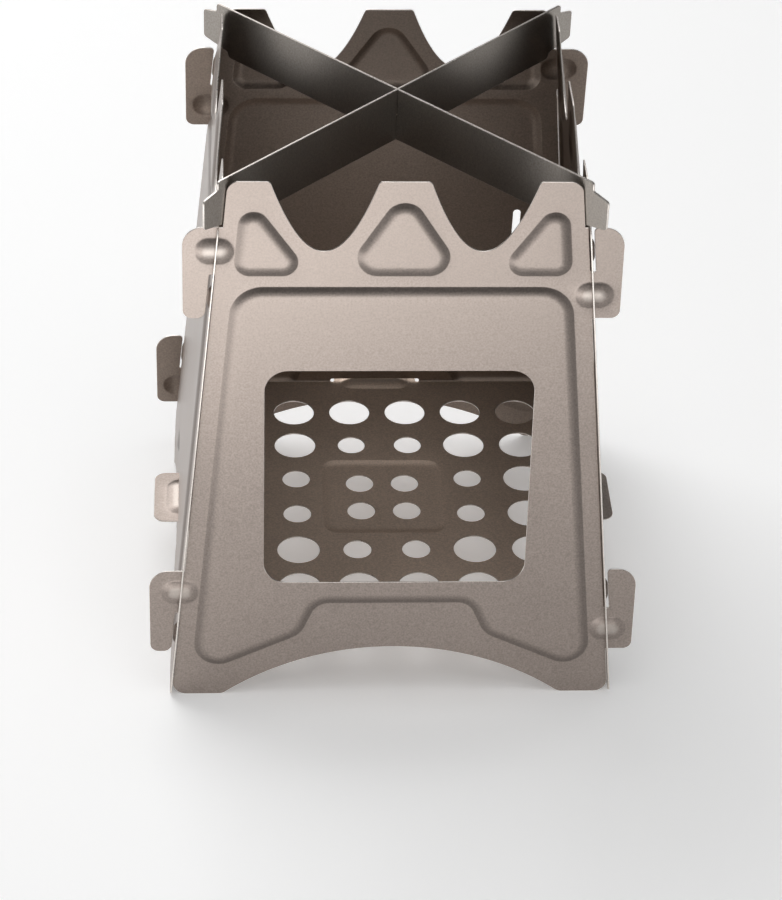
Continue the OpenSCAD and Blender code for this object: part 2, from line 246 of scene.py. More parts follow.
def rounded(points):
    """Outline through points (x, y, rounding), with long edges split."""
    loop = []
    for i, p in enumerate(points):
        if p[2] > 0:
            loop += corner(place(points, i - 1), place(points, i), place(points, i + 1), p[2])
        else:
            loop.append(place(points, i))
    fine = []
    for a, b in zip(loop, loop[1:] + loop[:1]):
        parts = max(1, math.ceil(np.linalg.norm(b - a)/EDGE_STEP))
        fine += [a + (b - a)*k/parts for k in range(parts)]
    return np.array(fine)


def inset(points, d):
    """Points (x, y, rounding) of a counterclockwise outline moved inwards by d."""
    moved = []
    for i, p in enumerate(points):
        before = unit(place(points, i) - place(points, i - 1))
        after = unit(place(points, i + 1) - place(points, i))
        left_before = np.array((-before[1], before[0]))
        left_after = np.array((-after[1], after[0]))
        at = place(points, i) + (left_before + left_after)*d/(1 + left_before @ left_after)
        convex = turn(before, after) > 0
        moved.append((at[0], at[1], p[2] + (-d if convex else d)))
    return moved


def mirrored(points):
    """The other half of an outline, in the order that carries on round it."""
    return [(-p[0], *p[1:]) for p in reversed(points)]


def box_points(w, h, r, at=(0, 0)):
    """Points (x, y, rounding) of a rectangle about a place."""
    x, y = at
    return [(x - w/2, y - h/2, r), (x + w/2, y - h/2, r),
            (x + w/2, y + h/2, r), (x - w/2, y + h/2, r)]


def circle(d, at):
    """Points (x, y, rounding) of a circle of diameter d."""
    return box_points(d, d, d/2*END_ROUND, at)


def stadium(length, width, at, angle):
    """Points (x, y, rounding) of a round-ended oval turned by an angle in degrees."""
    c = math.cos(math.radians(angle))
    s = math.sin(math.radians(angle))
    flat = box_points(length, width, width/2*END_ROUND)
    return [(at[0] + x*c - y*s, at[1] + x*s + y*c, r) for x, y, r in flat]


def arch_points():
    """The arch between the feet, from the left foot to the right."""
    radius = (ARCH_W**2/4 + ARCH_H**2)/(2*ARCH_H)
    across = [ARCH_W/2*i/CURVE_STEPS for i in range(1 - CURVE_STEPS, CURVE_STEPS)]
    return [(u, ARCH_H - radius + math.sqrt(radius**2 - u*u), 0) for u in across]


def valley_points():
    """The right-hand valley of the crown, a parabola from outside inwards."""
    shares = [1 - i/CURVE_STEPS for i in range(1, 2*CURVE_STEPS)]
    return [(VALLEY_U + s*VALLEY_W/2, PANEL_L - VALLEY_D*(1 - s*s), 0) for s in shares]


def crown_half():
    """Right half of the crown, from its outer corner to the middle tooth."""
    return [(edge_u(SEAT_V) - CORNER_CLEAR, SEAT_V, 0),
            (edge_u(PANEL_L) - CORNER_CLEAR, PANEL_L, CROWN_R),
            (VALLEY_U + VALLEY_W/2, PANEL_L, TOOTH_R),
            *valley_points(),
            (TOOTH_W/2, PANEL_L, TOOTH_R)]


def ear_out(v):
    """Outer edge of the ear that starts at height v."""
    return edge_u(v + EAR_H/2) + EAR_REACH


def hook_u(v):
    """Inner edge of a hook at height v."""
    return edge_u(v) + HOOK_GAP


def ear_neck_below(v):
    """Right-hand ear from below upwards: the hook opens upwards."""
    top = v + EAR_H
    neck = v + NECK_H
    return [(edge_u(v), v, SLOT_CORNER_R), (ear_out(v), v, HOOK_R),
            (ear_out(v), top, EAR_R), (hook_u(top), top, HOOK_R/2),
            (hook_u(neck), neck, HOOK_ROOT_R), (edge_u(neck), neck, HOOK_ROOT_R)]


def ear_neck_above(v):
    """Right-hand ear from below upwards: the hook opens downwards."""
    top = v + EAR_H
    neck = top - NECK_H
    root_r = SLOT_CORNER_R if v < HIGH_EAR_V else 0
    return [(edge_u(neck), neck, HOOK_ROOT_R), (hook_u(neck), neck, HOOK_ROOT_R),
            (hook_u(v), v, HOOK_R), (ear_out(v), v, HOOK_R),
            (ear_out(v), top, EAR_R), (edge_u(top), top, root_r)]


def end_outline():
    """Outline of the front and back panels with their ears, counterclockwise."""
    foot = [(ARCH_W/2, 0, ARCH_R), (HALF_W, 0, FOOT_R)]
    seat = [(edge_u(SEAT_V), SEAT_V, 0)]
    right = foot + ear_neck_below(LOW_EAR_V) + ear_neck_below(HIGH_EAR_V) + seat
    left = foot + ear_neck_above(LOW_EAR_V) + ear_neck_above(HIGH_EAR_V)
    return [*arch_points(), *right, *crown_half(), *mirrored(crown_half()), *mirrored(left)]


def slot_points(low, high, r):
    """Slot on the right-hand ear line of a side panel, counterclockwise from its inner lower corner."""
    return [(edge_u(low) - SLOT_IN, low, r), (edge_u(low) + SLOT_OUT, low, r),
            (edge_u(high) + SLOT_OUT, high, r), (edge_u(high) - SLOT_IN, high, r)]


def side_outline():
    """Outline of a side panel: a slot open at the top on the right, one open at the bottom on the left."""
    strip_r = TOOTH_R/2
    foot = [(ARCH_W/2, 0, ARCH_R)]
    edge = [(HALF_W + SIDE_STRIP, 0, FOOT_R), (edge_u(SEAT_V) + SIDE_STRIP, SEAT_V, strip_r)]
    foot_arc = corner(place(foot, 0), place(edge, 0), place(edge, 1), FOOT_R)
    tongue = [(p[0], p[1], 0) for p in foot_arc if p[0] > edge_u(p[1]) + SLOT_OUT]
    high = slot_points(HIGH_EAR_V + EAR_H - NECK_H - FIT_GAP, SEAT_V, SLOT_CORNER_R)
    high_slot = [(*high[2][:2], 0), high[1], high[0], (*high[3][:2], 0)]
    low = slot_points(0, LOW_EAR_V + NECK_H + FIT_GAP, SLOT_CORNER_R)
    tongue_v = tongue[0][1]
    low_slot = [(*low[0][:2], 0), low[3], low[2], (edge_u(tongue_v) + SLOT_OUT, tongue_v, 0)]
    right = foot + edge + high_slot
    left = foot + low_slot + tongue + [edge[1]]
    return [*arch_points(), *right, *crown_half(), *mirrored(crown_half()), *mirrored(left)]


def side_slots():
    """Closed slots of a side panel."""
    low_stop = LOW_EAR_V + EAR_H - NECK_H - FIT_GAP
    high_stop = HIGH_EAR_V + NECK_H + FIT_GAP
    return [slot_points(low_stop, low_stop + INSERT_L, SLOT_CORNER_R),
            mirrored(slot_points(high_stop - INSERT_L, high_stop, SLOT_CORNER_R))]


def ash_slot(length):
    """Slot that a tab of the ash plate passes through."""
    low = (ASH_Z - FIT_GAP)/math.cos(LEAN)
    height = (SHEET_T + BEAD_H + 2*FIT_GAP)/math.cos(LEAN) + SHEET_T*math.tan(LEAN)
    end_r = height/3
    return box_points(length, height, end_r, (0, low + height/2))


def field_outlines():
    """Outlines of the stamped fields of a panel, counterclockwise."""
    half = [(STEP_U, STEP_V, STEP_R),
            (STEP_U + KNEE_RUN, STEP_V - KNEE_DROP, KNEE_R),
            (edge_u(TOE_V) - FIELD_INSET, TOE_V, TOE_R),
            (edge_u(FIELD_TOP) - FIELD_INSET, FIELD_TOP, FIELD_R)]
    tip_v = TRI_V + TRI_H
    middle = [(-MID_TRI_W/2, TRI_V, MID_TRI_R), (MID_TRI_W/2, TRI_V, MID_TRI_R), (0, tip_v, MID_TRI_R)]
    side_u = edge_u(TRI_V) - SIDE_TRI_INSET
    side = [(side_u - SIDE_TRI_W, TRI_V, SIDE_TRI_R),
            (side_u, TRI_V, SIDE_TRI_R),
            (edge_u(tip_v) - SIDE_TRI_INSET, tip_v, SIDE_TRI_R)]
    return [half + mirrored(half), middle, side, mirrored(side)]


# Relief stamped into the sheets

def inside(p, loop):
    """Which of the points lie inside a closed loop."""
    a = loop
    b = np.roll(loop, -1, axis=0)
    crosses = (a[:, 1] > p[:, 1:2]) != (b[:, 1] > p[:, 1:2])
    rise = np.where(b[:, 1] == a[:, 1], 1.0, b[:, 1] - a[:, 1])
    at_x = a[:, 0] + (p[:, 1:2] - a[:, 1])*(b[:, 0] - a[:, 0])/rise
    return (crosses & (p[:, 0:1] < at_x)).sum(1) % 2 == 1


def depth(p, loop):
    """Distance from the points to a closed loop, positive inside."""
    a = loop
    d = np.roll(loop, -1, axis=0) - a
    rel = p[:, None, :] - a[None]
    t = np.clip((rel*d).sum(2)/(d*d).sum(1), 0, 1)
    away = np.linalg.norm(rel - t[..., None]*d, axis=2).min(1)
    return np.where(inside(p, loop), away, -away)


def soft_floor(x, k):
    """The larger of x and 0, rounded off over k on each side."""
    return np.where(x < -k, 0, np.where(x > k, x, (x + k)**2/(4*k)))


def wall_profile(s):
    """Height of a stamped wall at depth s inside its outline, from 0 to 1."""
    risen = soft_floor(s, WALL_FOOT)
    return (WALL_RUN - soft_floor(WALL_RUN - risen, WALL_SHOULDER))/WALL_RUN


def bead_profile(s, half_w):
    """Height of a bead at depth s inside its outline, from 0 to 1."""
    dome = np.clip(soft_floor(s + BEAD_OUT, BEAD_FOOT)/(half_w + BEAD_OUT), 0, 1)
    return 1 - (1 - dome)**2


class Relief:
    """One stamped form: contour loops for the mesh to follow, and its height at any point."""

    def __init__(self, points, height, bead_width=None):
        self.outline = rounded(points)
        self.height = height
        self.half_w = bead_width/2 if bead_width else None
        levels = WALL_LEVELS
        if bead_width:
            levels = [k*(self.half_w + BEAD_OUT) - BEAD_OUT for k in BEAD_LEVELS]
        self.reach = (levels[0], levels[-1])
        self.contours = [rounded(inset(points, d)) for d in levels]

    def profile(self, s):
        """Height of the form at depth s inside its outline."""
        return self.height*(bead_profile(s, self.half_w) if self.half_w else wall_profile(s))

    def lift(self, p):
        """Height of the form at the points."""
        return self.profile(depth(p, self.outline))

    def slope(self, p):
        """How steep the form is at the points, as rise over run, or a share of that on a bead, which sets
        the painted tone of its walls.
        """
        s = depth(p, self.outline)
        rise = np.abs(self.profile(s + SLOPE_STEP) - self.profile(s - SLOPE_STEP))/(2*SLOPE_STEP)
        return rise*BEAD_PAINTED_SHARE if self.half_w else rise

    def crown(self, p):
        """How near the points are to a bead's crest, from 0 to 1."""
        if not self.half_w:
            return np.zeros(len(p))
        return np.clip((self.lift(p)/self.height - CREST_RUB_AND_HIGHLIGHT_FROM)/(1 - CREST_RUB_AND_HIGHLIGHT_FROM), 0, 1)

    def crowds(self, p):
        """Points on the slopes, where only contours belong."""
        s = depth(p, self.outline)
        return (s > self.reach[0] - GRID_CLEAR/2) & (s < self.reach[1] + GRID_CLEAR/2)


def bead(size, at, angle):
    """A bead of a given length and width, turned by an angle in degrees."""
    length, width = size
    return Relief(stadium(length, width, at, angle), BEAD_H + BEAD_CROWN, width)


# Sheet meshes

# Places of the materials on a sheet
OUTER_SLOT, INNER_SLOT, CUT_SLOT, TAB_SLOT = range(4)


def moved_in(loop, d):
    """A loop moved to its left by d."""
    before = loop - np.roll(loop, 1, axis=0)
    after = np.roll(loop, -1, axis=0) - loop
    before /= np.linalg.norm(before, axis=1)[:, None]
    after /= np.linalg.norm(after, axis=1)[:, None]
    left_before = np.stack((-before[:, 1], before[:, 0]), 1)
    left_after = np.stack((-after[:, 1], after[:, 0]), 1)
    spread = 1 + (left_before*left_after).sum(1)
    return loop + (left_before + left_after)*(d/np.maximum(spread, LEAST_SPREAD))[:, None]


def loop_edges(first, count):
    """Edges of a closed loop whose points are numbered from first."""
    return [(first + i, first + (i + 1) % count) for i in range(count)]


def grid_points(outline, loops, reliefs):
    """Staggered points that fill the flat of a sheet, clear of rims and slopes."""
    low = outline.min(0)
    high = outline.max(0)
    us, vs = np.meshgrid(np.arange(low[0], high[0], GRID_STEP),
                         np.arange(low[1], high[1], GRID_STEP))
    us = us + (np.arange(us.shape[0]) % 2)[:, None]*GRID_STEP/2
    p = np.stack((us.ravel(), vs.ravel()), 1)
    p = p[depth(p, outline) > GRID_CLEAR]
    for loop in loops[1:]:
        p = p[depth(p, loop) < -GRID_CLEAR]
    for relief in reliefs:
        p = p[~relief.crowds(p)]
    return p


def flat_mesh(loops, rims, reliefs):
    """Points and triangles of a flat sheet between its rims, and which point each rim point became."""
    chains = rims + [c for r in reliefs for c in r.contours]
    flat = []
    edges = []
    for chain in chains:
        edges += loop_edges(len(flat), len(chain))
        flat += [Vector(p) for p in chain]
    flat += [Vector(p) for p in grid_points(rims[0], loops, reliefs)]
    at, _, triangles, sources, _, _ = delaunay_2d_cdt(flat, edges, [], 0, MERGE_GAP)
    at = np.array([tuple(p) for p in at])
    tri = np.array(triangles)
    centres = at[tri].mean(1)
    keep = inside(centres, rims[0])
    for rim in rims[1:]:
        keep &= ~inside(centres, rim)
    tri = tri[keep]
    a, b, c = (at[tri[:, k]] for k in range(3))
    clockwise = (b - a)[:, 0]*(c - a)[:, 1] - (b - a)[:, 1]*(c - a)[:, 0] < 0
    tri[clockwise] = tri[clockwise][:, ::-1]
    found = {}
    for new, olds in enumerate(sources):
        for old in olds:
            found[old] = new
    return at, tri, found


def sheet_marks(at, reliefs, wall_count):
    """Marks for the finish: bead crests and cut edges lightened, partly by rubbing and partly as a painted
    highlight, and stamped walls marked for a painted tone (painted shade on the panels, painted light on
    the plate), weaker on the inner face.
    """
    n = len(at)
    crown = np.max([np.zeros(n)] + [r.crown(at) for r in reliefs], axis=0)
    # Crests and cut edges are lightened, partly by rubbing and partly as a painted highlight
    wear_and_highlight = np.concatenate((crown, np.zeros(n), np.ones(wall_count)))
    # Stamped walls take a painted tone by their steepness, and a share of it on the inner face
    steep = np.clip(sum((r.slope(at) for r in reliefs), np.zeros(n))*WALL_RUN/STAMP_H, 0, 1)
    pressed = np.concatenate((steep, steep*INNER_PAINTED_SHARE, np.zeros(wall_count)))
    return {"wear_and_highlight": wear_and_highlight, "pressed": pressed}


def sheet_piece(name, outline, holes, reliefs, thickness, to_frame, materials):
    """A stamped sheet with bevelled cut edges. Outline and holes are points (x, y, rounding)."""
    loops = [rounded(outline)] + [rounded(h)[::-1] for h in holes]
    rims = [moved_in(loop, EDGE_BEVEL) for loop in loops]
    at, tri, found = flat_mesh(loops, rims, reliefs)
    walls = np.concatenate(loops)
    lift = sum((r.lift(at) for r in reliefs), np.zeros(len(at)))
    wall_lift = sum((r.lift(walls) for r in reliefs), np.zeros(len(walls)))
    half = thickness/2
    top = np.column_stack((at, lift + half))
    bottom = np.column_stack((at, lift - half))
    wall_top = np.column_stack((walls, wall_lift + half - EDGE_BEVEL))
    wall_bottom = np.column_stack((walls, wall_lift - half + EDGE_BEVEL))
    n = len(at)
    m = len(walls)
    faces = [tuple(t) for t in tri] + [tuple(t[::-1] + n) for t in tri]
    inner_from = len(tri)
    cut_from = len(faces)
    first = 0
    for loop in loops:
        for i, j in loop_edges(first, len(loop)):
            rows = [(found[i], found[j]), (2*n + i, 2*n + j), (2*n + m + i, 2*n + m + j),
                    (n + found[i], n + found[j])]
            faces += [(p[0], q[0], q[1], p[1]) for p, q in zip(rows, rows[1:])]
        first += len(loop)
    verts = np.concatenate((top, bottom, wall_top, wall_bottom))

    mesh = bpy.data.meshes.new(name)
    mesh.from_pydata([to_frame @ Vector(v) for v in verts], [], [[int(i) for i in f] for f in faces])
    for material in materials:
        mesh.materials.append(material)
    slots = np.full(len(faces), OUTER_SLOT)
    slots[inner_from:cut_from] = INNER_SLOT
    slots[cut_from:] = CUT_SLOT
    mesh.polygons.foreach_set("material_index", slots)
    mesh.polygons.foreach_set("use_smooth", np.ones(len(faces), bool))
    for mark, values in sheet_marks(at, reliefs, 2*m).items():
        mesh.attributes.new(mark, "FLOAT", "POINT").data.foreach_set("value", values.astype(np.float32))
    mesh.set_sharp_from_angle(angle=SHARP_ANGLE)
    mesh.validate()
    piece = bpy.data.objects.new(name, mesh)
    bpy.context.scene.collection.objects.link(piece)
    return piece


def stand(face, reach):
    """Takes a flat sheet to its leaning place on the side of the stove that faces the given turn."""
    return (Matrix.Scale(MM, 4) @ Matrix.Rotation(math.radians(face), 4, "Z")
            @ Matrix.Translation((0, -reach, 0)) @ Matrix.Rotation(math.pi/2 - LEAN, 4, "X"))


def on_edge(angle):
    """Takes a flat bar to its place on edge along a diagonal."""
    return (Matrix.Scale(MM, 4) @ Matrix.Rotation(math.radians(angle), 4, "Z")
            @ Matrix.Rotation(math.pi/2, 4, "X"))


# Materials

# Values between which noise mostly lies, and the span of a mark
NOISE_SPAN = (0.3, 0.7)
MARK_SPAN = (0.0, 1.0)


def noise(nodes, links, coords, scale, detail):
    """Noise over the given coordinates."""
    node = nodes.new("ShaderNodeTexNoise")
    node.inputs["Scale"].default_value = scale
    node.inputs["Detail"].default_value = detail
    links.new(coords, node.inputs["Vector"])
    return node.outputs["Fac"]


def mapped(nodes, links, value, low, high, span=NOISE_SPAN):
    """A value taken from its span to lie between low and high."""
    node = nodes.new("ShaderNodeMapRange")
    node.inputs["From Min"].default_value = span[0]
    node.inputs["From Max"].default_value = span[1]
    node.inputs["To Min"].default_value = low
    node.inputs["To Max"].default_value = high
    links.new(value, node.inputs["Value"])
    return node.outputs["Result"]


def math_node(nodes, links, operation, a, b):
    """A sum, product or the like of two values, each a number or an output of a node."""
    node = nodes.new("ShaderNodeMath")
    node.operation = operation
    for socket, value in zip(node.inputs, (a, b)):
        if isinstance(value, float):
            socket.default_value = value
        else:
            links.new(value, socket)
    return node.outputs[0]


# Fine grain and soft blotches: noise scale per metre, its detail, and how far it shifts tone and gloss
GRAIN_SCALE = 1700
GRAIN_DETAIL = 4
GRAIN_TONE = (0.83, 1.17)
GRAIN_GLOSS = 0.05
BLOTCH_SCALE = 28
BLOTCH_DETAIL = 3
BLOTCH_TONE = (0.97, 1.03)
BLOTCH_GLOSS = 0.02
BUMP_STRENGTH = 0.35
# Painted tone of the stamped walls against the flat sheet, below one a painted shade, and share of the
# lighter colour where rubbing is strongest, partly a painted highlight
PAINTED_WALL_TONE = 0.62
RUB_AND_HIGHLIGHT_SHARE = 0.45


def blasted_titanium(name, colour, rub_and_highlight_colour, roughness, grain_depth, pressed_tone=PAINTED_WALL_TONE):
    """Blasted sheet: fine grain in colour, gloss and relief, soft blotches, crests and edges lightened
    partly by rubbing and partly as a painted highlight, and a painted tone on the stamped walls: painted
    shade below one, painted light above.
    """
    material = bpy.data.materials.new(name)
    material.use_nodes = True
    nodes = material.node_tree.nodes
    links = material.node_tree.links
    shader = nodes["Principled BSDF"]
    shader.inputs["Metallic"].default_value = 1.0
    coords = nodes.new("ShaderNodeTexCoord").outputs["Object"]
    grain = noise(nodes, links, coords, GRAIN_SCALE, GRAIN_DETAIL)
    blotch = noise(nodes, links, coords, BLOTCH_SCALE, BLOTCH_DETAIL)
    wear_and_highlight = nodes.new("ShaderNodeAttribute")
    wear_and_highlight.attribute_name = "wear_and_highlight"
    pressed = nodes.new("ShaderNodeAttribute")
    pressed.attribute_name = "pressed"

    tone = math_node(nodes, links, "MULTIPLY", mapped(nodes, links, grain, *GRAIN_TONE),
                     mapped(nodes, links, blotch, *BLOTCH_TONE))
    # Painted tone on the stamped walls: painted shade below one, painted light above
    tone = math_node(nodes, links, "MULTIPLY", tone,
                     mapped(nodes, links, pressed.outputs["Fac"], 1.0, pressed_tone, MARK_SPAN))
    toned = nodes.new("ShaderNodeMix")
    toned.data_type = "RGBA"
    toned.blend_type = "MULTIPLY"
    toned.inputs["Factor"].default_value = 1.0
    toned.inputs["A"].default_value = (*colour, 1)
    links.new(tone, toned.inputs["B"])
    # Lighter colour on crests and cut edges, partly from rubbing and partly a painted highlight
    rub_and_highlight_mix = nodes.new("ShaderNodeMix")
    rub_and_highlight_mix.data_type = "RGBA"
    worn_and_lit = math_node(nodes, links, "MULTIPLY", wear_and_highlight.outputs["Fac"], RUB_AND_HIGHLIGHT_SHARE)
    links.new(worn_and_lit, rub_and_highlight_mix.inputs["Factor"])
    links.new(toned.outputs["Result"], rub_and_highlight_mix.inputs["A"])
    rub_and_highlight_mix.inputs["B"].default_value = (*rub_and_highlight_colour, 1)
    links.new(rub_and_highlight_mix.outputs["Result"], shader.inputs["Base Color"])

    grain_gloss = mapped(nodes, links, grain, roughness - GRAIN_GLOSS, roughness + GRAIN_GLOSS)
    blotch_gloss = mapped(nodes, links, blotch, -BLOTCH_GLOSS, BLOTCH_GLOSS)
    gloss = math_node(nodes, links, "ADD", grain_gloss, blotch_gloss)
    links.new(gloss, shader.inputs["Roughness"])
    bump = nodes.new("ShaderNodeBump")
    bump.inputs["Strength"].default_value = BUMP_STRENGTH
    bump.inputs["Distance"].default_value = grain_depth
    links.new(grain, bump.inputs["Height"])
    links.new(bump.outputs["Normal"], shader.inputs["Normal"])
    return material


# Colours of the metals and depths of their grain in metres
TAUPE = (0.334, 0.284, 0.254)
# Darker brown for the inner faces of the panels, painted shade inside the stove
PAINTED_SHADE_BROWN = (0.25, 0.204, 0.172)
# Lighter, warmer tan for the ash plate inside the stove: painted light
PAINTED_LIGHT_TAN = (0.61, 0.497, 0.412)
GREY = (0.37, 0.34, 0.31)
# Lighter colour for crests and edges, partly from rubbing and partly a painted highlight
PALE_RUB_AND_HIGHLIGHT = (0.66, 0.605, 0.555)
BRIGHT = (0.74, 0.69, 0.64)
# Lighter colour for cut edges, partly from rubbing and partly a painted highlight
BRIGHTEST_RUB_AND_HIGHLIGHT = (0.82, 0.77, 0.72)
SHEET_GRAIN = 0.00003
FINE_GRAIN = 0.00002

panel_metal = blasted_titanium("blasted_panel", TAUPE, PALE_RUB_AND_HIGHLIGHT, roughness=0.36, grain_depth=SHEET_GRAIN)
# The inner faces have a darker copy of the panel metal: painted shade inside the stove
painted_shade_inside_metal = blasted_titanium("blasted_inside_painted_shade", PAINTED_SHADE_BROWN, PALE_RUB_AND_HIGHLIGHT, roughness=0.4, grain_depth=SHEET_GRAIN)
# The plate inside the stove has a lighter, warmer copy of the panel metal, with light painted in, and its
# stamped walls are painted lighter
painted_light_plate_metal = blasted_titanium("blasted_plate_painted_light", PAINTED_LIGHT_TAN, PALE_RUB_AND_HIGHLIGHT, roughness=0.58, grain_depth=SHEET_GRAIN,
                               pressed_tone=1.1)
bar_metal = blasted_titanium("blasted_bar", GREY, PALE_RUB_AND_HIGHLIGHT, roughness=0.42, grain_depth=FINE_GRAIN)
cut_metal = blasted_titanium("cut_edge", BRIGHT, BRIGHTEST_RUB_AND_HIGHLIGHT, roughness=0.32, grain_depth=FINE_GRAIN)


# The pieces

def shown_as(piece, node, body):
    """Shows a piece instead of a node of the CAD, carried by a body."""
    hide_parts(node)
    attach(piece, body)


panel_fields = [Relief(points, STAMP_H) for points in field_outlines()]


def end_beads():
    """Beads on the necks of the ears of a front or back panel."""
    made = []
    for v in EAR_LEVELS:
        below = v + NECK_H/2
        above = v + EAR_H - NECK_H/2
        made.append(bead(NECK_BEAD, (edge_u(below) + HOOK_GAP/2, below), angle=0))
        made.append(bead(NECK_BEAD, (-edge_u(above) - HOOK_GAP/2, above), angle=0))
    return made


def side_beads():
    """Beads on the side panels under the hooks of the ears."""
    half_hook = (EAR_H - NECK_H)/2
    made = []
    for v in EAR_LEVELS:
        low = v + half_hook
        high = v + EAR_H - half_hook
        made.append(bead(HOOK_BEAD, (edge_u(low), low), angle=90))
        made.append(bead(HOOK_BEAD, (-edge_u(high), high), angle=90))
    return made


window = box_points(WINDOW_W, WINDOW_H, WINDOW_R, (0, WINDOW_V + WINDOW_H/2))
air_slots = [stadium(AIR_L, AIR_W, (s*AIR_U, AIR_TOP - AIR_L/2), angle=90) for s in (-1, 1)]
end_relief = panel_fields + end_beads()
side_relief = panel_fields + side_beads()
side_holes = side_slots() + [ash_slot(ASH_TAB_L + 2*SIDE_PLAY)]
back_holes = [ash_slot(REAR_TAB_L + 2*REAR_PLAY), *air_slots]
panels = {
    "front": (end_outline(), [window], end_relief, stand(0, HALF_W)),
    "back": (end_outline(), back_holes, end_relief, stand(180, HALF_W)),
    "left": (side_outline(), side_holes, side_relief, stand(270, SIDE_HALF_W)),
    "right": (side_outline(), side_holes, side_relief, stand(90, SIDE_HALF_W)),
}
for side, (outline, holes, relief, to_frame) in panels.items():
    piece = sheet_piece(f"{side}_sheet", outline, holes, relief, SHEET_T, to_frame,
                        (panel_metal, painted_shade_inside_metal, cut_metal))
    shown_as(piece, f"{side}_panel", "stove_body")


def ash_outline():
    """Outline of the ash plate with its three tabs, counterclockwise."""
    lean_in = ASH_TOP*math.tan(LEAN) + SHEET_T/2/math.cos(LEAN) + 2*FIT_GAP
    half_x = SIDE_HALF_W - lean_in
    half_y = HALF_W - lean_in
    side_end = SIDE_CROSS + ASH_TAB_REACH
    rear_end = BACK_CROSS + REAR_TAB_REACH
    tab = ASH_TAB_L/2
    rear = REAR_TAB_L/2
    right = [(half_x, -half_y, ASH_R), (half_x, -tab, SLOT_CORNER_R), (side_end, -tab, ASH_TAB_R),
             (side_end, tab, ASH_TAB_R), (half_x, tab, SLOT_CORNER_R), (half_x, half_y, ASH_R),
             (rear, half_y, SLOT_CORNER_R), (rear, rear_end, ASH_TAB_R)]
    return right + mirrored(right)


def ash_holes():
    """Holes of the ash plate, in rings that count outwards from the four in the middle."""
    made = []
    middle = (HOLE_ROWS - 1)/2
    for i in range(HOLE_ROWS):
        for j in range(HOLE_ROWS):
            x = i - middle
            y = j - middle
            ring = max(abs(x), abs(y)) - 0.5
            pitch = MID_PITCH if ring == 0 else HOLE_PITCH
            big = ring == 2 or (ring == 1 and abs(x) == abs(y))
            made.append(circle(BIG_HOLE_D if big else SMALL_HOLE_D, (x*pitch, y*pitch)))
    return made


ash_relief = [Relief(box_points(SINK_W, SINK_W, SINK_R), -SINK_SHOWN)]
ash_relief += [bead(TAB_BEAD, (s*SIDE_CROSS, 0), angle=90) for s in (-1, 1)]
rear_bead = (REAR_TAB_L - 2*REAR_BEAD_INSET, TAB_BEAD[1])
rear_bead_at = (0, BACK_CROSS + REAR_TAB_REACH - REAR_RIM - TAB_BEAD[1]/2)
ash_relief.append(bead(rear_bead, rear_bead_at, angle=0))
ash_place = Matrix.Scale(MM, 4) @ Matrix.Translation((0, 0, ASH_Z + SHEET_T/2))
ash_sheet = sheet_piece("ash_sheet", ash_outline(), ash_holes(), ash_relief, SHEET_T, ash_place,
                        (painted_light_plate_metal, painted_light_plate_metal, cut_metal, panel_metal))
# Outside the panels the side tabs have the panels' metal; inside the stove the plate has a lighter, warmer
# copy of it, with light painted in
for polygon in ash_sheet.data.polygons:
    if polygon.material_index < CUT_SLOT and abs(polygon.center.x) > SIDE_CROSS*MM:
        polygon.material_index = TAB_SLOT
shown_as(ash_sheet, "ash_plate", "stove_body")


def bar_outline(lap_low, lap_high):
    """Outline of a pot bar whose lap slot runs between two heights, one of them an edge of the bar."""
    reach = CROWN_REACH + BAR_PAST
    shoulder = CROWN_REACH - SHOULDER_GAP
    low = POT_Z - BAR_H
    half = [(shoulder, low, BAR_R),
            (shoulder, SEAT_Z + LAP_GAP, BAR_R/2),
            (reach + TAB_L, SEAT_Z + TAB_RISE, BAR_R),
            (reach + TAB_L, POT_Z - TAB_STEP - TAB_DROP, BAR_R),
            (reach, POT_Z - TAB_STEP, BAR_R/2),
            (reach, POT_Z, BAR_R)]
    lap = BAR_T/2 + LAP_GAP
    if lap_high == POT_Z:
        slot = [(lap, POT_Z, 0), (lap, lap_low, 0), (-lap, lap_low, 0), (-lap, POT_Z, 0)]
        return half + slot + mirrored(half)
    slot = [(-lap, low, 0), (-lap, lap_high, 0), (lap, lap_high, 0), (lap, low, 0)]
    return slot + half + mirrored(half)


bar_mid = POT_Z - BAR_H/2
bars = {
    "lower_bar": (bar_outline(bar_mid - LAP_GAP, POT_Z), on_edge(-45)),
    "upper_bar": (bar_outline(POT_Z - BAR_H, bar_mid + LAP_GAP), on_edge(45)),
}
for bar, (outline, to_frame) in bars.items():
    piece = sheet_piece(f"{bar}_strip", outline, [], [], BAR_T, to_frame,
                        (bar_metal, bar_metal, cut_metal))
    shown_as(piece, bar, bar)


# Floor, light and camera

# The floor, with a little light of its own where the camera or a mirroring surface looks at it
FLOOR_HALF = 6.0
FLOOR_GREY = 0.9
FLOOR_ROUGHNESS = 0.8
FLOOR_SPECULAR = 0.2
FLOOR_GLOW = 0.25
# Height from the horizon, 0, to overhead, 1, and brightness of the room there
ROOM_STOPS = ((0.0, 0.8), (0.06, 0.7), (0.32, 0.14), (0.7, 0.1), (1.0, 0.2))
# Where most lamps aim
STOVE_MIDDLE = (0, 0, 0.09)


